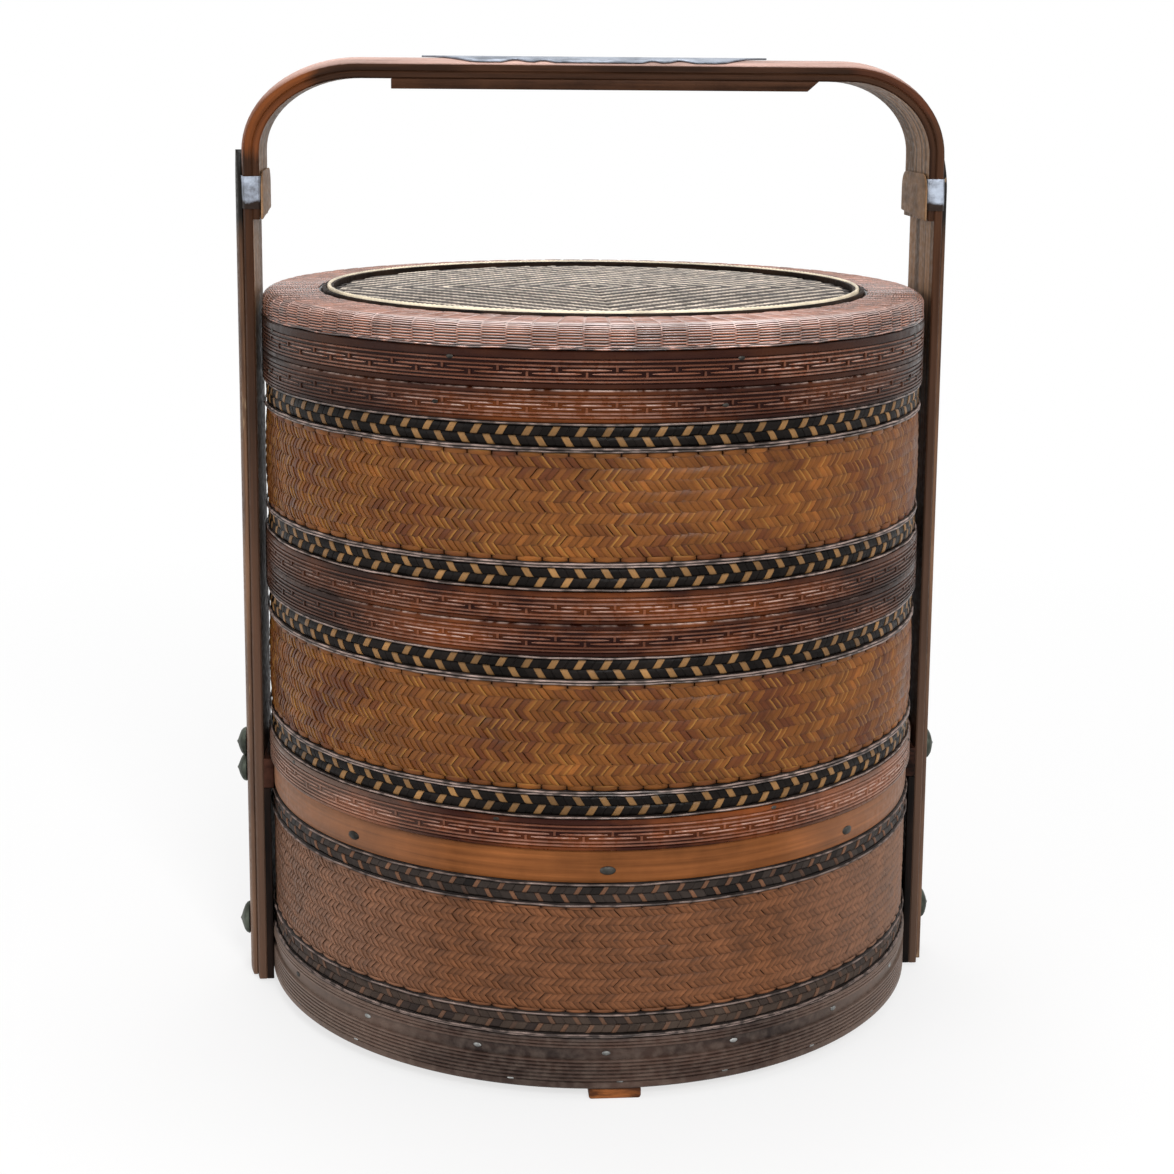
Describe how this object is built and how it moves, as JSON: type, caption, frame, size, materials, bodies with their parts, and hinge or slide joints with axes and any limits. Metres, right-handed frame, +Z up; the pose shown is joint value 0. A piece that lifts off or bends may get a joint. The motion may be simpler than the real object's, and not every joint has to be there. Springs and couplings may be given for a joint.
{
  "type": "stacking basket",
  "caption": "Round bamboo stacking basket: nested lift-off tiers with woven walls, a wicker-edged lid and a fixed bentwood carrying handle.",
  "frame": {"origin": "on the ground under the middle of the basket", "axes": "+Z up, X from the left arm to the right arm of the carrying frame, front facing -Y"},
  "size_m": [0.3972, 0.36, 0.5103],
  "materials": {
    "lacquered_bamboo": "worn dark red-brown lacquer with incised lines",
    "foot_lacquer": "dusty dark lacquer",
    "woven_bamboo": "fine twill of glossy bamboo splints",
    "aged_weave": "fine twill of dull bamboo splints",
    "dark_braid": "black and tan splints laid as a herringbone",
    "cane": "thin pale cane",
    "bamboo_board": "bare bamboo board",
    "plain_bamboo": "smooth oiled bamboo",
    "wicker": "fine round wicker",
    "dark_weave": "dark and tan twill",
    "gold_cane": "polished yellow cane",
    "bentwood": "handled brown bamboo slats",
    "dark_wood": "dark stained wood",
    "silvered_metal": "thin white-metal sheet, rubbed",
    "iron": "dark forged iron"
  },
  "bodies": {
    "base": {"base_foot_hoop": "foot_lacquer", "base_bottom_cane": "cane", "base_lower_braid": "dark_braid", "base_lower_cane": "cane", "base_woven_wall": "aged_weave", "base_upper_cane": "cane", "base_upper_braid": "dark_braid", "base_top_cane": "cane", "base_rim_hoop": "plain_bamboo", "base_floor": "bamboo_board", "base_liner": "bamboo_board", "handle_bow": "bentwood", "handle_inner_ply": "bentwood", "left_outer_slip": "bentwood", "right_outer_slip": "bentwood", "left_shoulder_band": "silvered_metal", "right_shoulder_band": "silvered_metal", "left_shoulder_cheek": "bentwood", "right_shoulder_cheek": "bentwood", "left_packing_slip": "dark_wood", "right_packing_slip": "dark_wood", "left_spacer_block": "bentwood", "right_spacer_block": "bentwood", "left_upper_stud": "iron", "right_upper_stud": "iron", "left_lower_stud": "iron", "right_lower_stud": "iron", "grip_under_slip": "bentwood", "grip_plate": "silvered_metal", "foot_runner": "dark_wood", "cross_runner": "dark_wood"},
    "middle_tier": {"middle_bottom_hoop": "lacquered_bamboo", "middle_bottom_cane": "cane", "middle_lower_braid": "dark_braid", "middle_lower_cane": "cane", "middle_woven_wall": "woven_bamboo", "middle_upper_cane": "cane", "middle_upper_braid": "dark_braid", "middle_top_cane": "cane", "middle_top_hoop": "lacquered_bamboo", "middle_floor": "bamboo_board", "middle_liner": "bamboo_board"},
    "top_tier": {"top_bottom_hoop": "lacquered_bamboo", "top_bottom_cane": "cane", "top_lower_braid": "dark_braid", "top_lower_cane": "cane", "top_woven_wall": "woven_bamboo", "top_upper_cane": "cane", "top_upper_braid": "dark_braid", "top_top_cane": "cane", "top_top_hoop": "lacquered_bamboo", "top_floor": "bamboo_board", "top_liner": "bamboo_board"},
    "lid": {"lid_rim_hoop": "lacquered_bamboo", "lid_core_ring": "bamboo_board", "lid_board": "bamboo_board", "lid_wicker_shoulder": "wicker", "lid_dark_ring": "dark_wood", "lid_gold_ring": "gold_cane", "lid_woven_panel": "dark_weave"}
  },
  "joints": [
    {"name": "middle_tier_lift", "type": "slide", "parent": "base", "child": "middle_tier", "axis": [0, 0, 1], "range_m": [0, 0.011]},
    {"name": "top_tier_lift", "type": "slide", "parent": "middle_tier", "child": "top_tier", "axis": [0, 0, 1], "range_m": [0, 0.011]},
    {"name": "lid_lift", "type": "slide", "parent": "top_tier", "child": "lid", "axis": [0, 0, 1], "range_m": [0, 0.014]}
  ]
}
